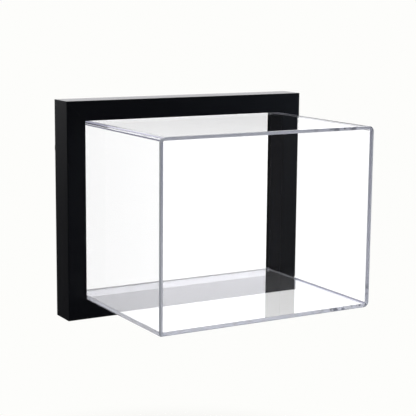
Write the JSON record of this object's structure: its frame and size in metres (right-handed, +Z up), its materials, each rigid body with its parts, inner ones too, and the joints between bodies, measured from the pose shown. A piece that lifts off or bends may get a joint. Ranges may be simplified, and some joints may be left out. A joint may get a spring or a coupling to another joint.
{
  "type": "wall display case",
  "caption": "Wall-mounted display case: mitred black frame round a clear acrylic cover that stands out from it, with a clear back panel, turn buttons and ring hangers.",
  "frame": {"origin": "on the wall plane, behind the middle of the frame's outline, level with the bumper's rear faces", "axes": "+X to the viewer's right, +Y into the wall, +Z up; the case faces -Y"},
  "size_m": [0.252, 0.177, 0.203],
  "materials": {
    "black_lacquered_wood": "satin black lacquer on solid wood",
    "clear_acrylic": "clear, polished edges",
    "zinc_plated_steel": "bright zinc plate",
    "nickel_plated_steel": "nickel plate",
    "black_rubber": "matt"
  },
  "bodies": {
    "frame": {"top_rail": "black_lacquered_wood", "bottom_rail": "black_lacquered_wood", "left_rail": "black_lacquered_wood", "right_rail": "black_lacquered_wood", "corner_nail_top_left": "zinc_plated_steel", "corner_nail_top_right": "zinc_plated_steel", "corner_nail_bottom_right": "zinc_plated_steel", "corner_nail_bottom_left": "zinc_plated_steel", "button_screw_top": "zinc_plated_steel", "button_screw_bottom": "zinc_plated_steel", "button_screw_left": "zinc_plated_steel", "button_screw_right": "zinc_plated_steel", "hanger_strap_left": "nickel_plated_steel", "hanger_strap_right": "nickel_plated_steel", "hanger_screw_left": "zinc_plated_steel", "hanger_screw_right": "zinc_plated_steel", "bumper_left": "black_rubber", "bumper_right": "black_rubber"},
    "cover": {"cover_wrap": "clear_acrylic", "cover_front": "clear_acrylic", "cover_flange": "clear_acrylic"},
    "back_panel": {"back_panel": "clear_acrylic"},
    "turn_button_top": {"turn_button_top": "zinc_plated_steel"},
    "turn_button_bottom": {"turn_button_bottom": "zinc_plated_steel"},
    "turn_button_left": {"turn_button_left": "zinc_plated_steel"},
    "turn_button_right": {"turn_button_right": "zinc_plated_steel"},
    "hanger_ring_left": {"hanger_ring_left": "nickel_plated_steel"},
    "hanger_ring_right": {"hanger_ring_right": "nickel_plated_steel"}
  },
  "joints": [
    {"name": "cover_slide", "type": "slide", "parent": "frame", "child": "cover", "axis": [0, 1, 0], "range_m": [0, 0.18]},
    {"name": "panel_slide", "type": "slide", "parent": "cover", "child": "back_panel", "axis": [0, 1, 0], "range_m": [0, 0.18]},
    {"name": "top_button_turn", "type": "hinge", "parent": "frame", "child": "turn_button_top", "pos_m": [0, -0.00305, 0.0948], "axis": [0, 1, 0], "continuous": true},
    {"name": "bottom_button_turn", "type": "hinge", "parent": "frame", "child": "turn_button_bottom", "pos_m": [0, -0.00305, -0.0948], "axis": [0, 1, 0], "continuous": true},
    {"name": "left_button_turn", "type": "hinge", "parent": "frame", "child": "turn_button_left", "pos_m": [-0.1193, -0.00305, 0], "axis": [0, 1, 0], "continuous": true},
    {"name": "right_button_turn", "type": "hinge", "parent": "frame", "child": "turn_button_right", "pos_m": [0.1193, -0.00305, 0], "axis": [0, 1, 0], "continuous": true},
    {"name": "left_ring_swing", "type": "hinge", "parent": "frame", "child": "hanger_ring_left", "pos_m": [-0.1193, -0.0021, 0.06], "axis": [1, 0, 0], "range_deg": [0, 180]},
    {"name": "right_ring_swing", "type": "hinge", "parent": "frame", "child": "hanger_ring_right", "pos_m": [0.1193, -0.0021, 0.06], "axis": [1, 0, 0], "range_deg": [0, 180]}
  ]
}
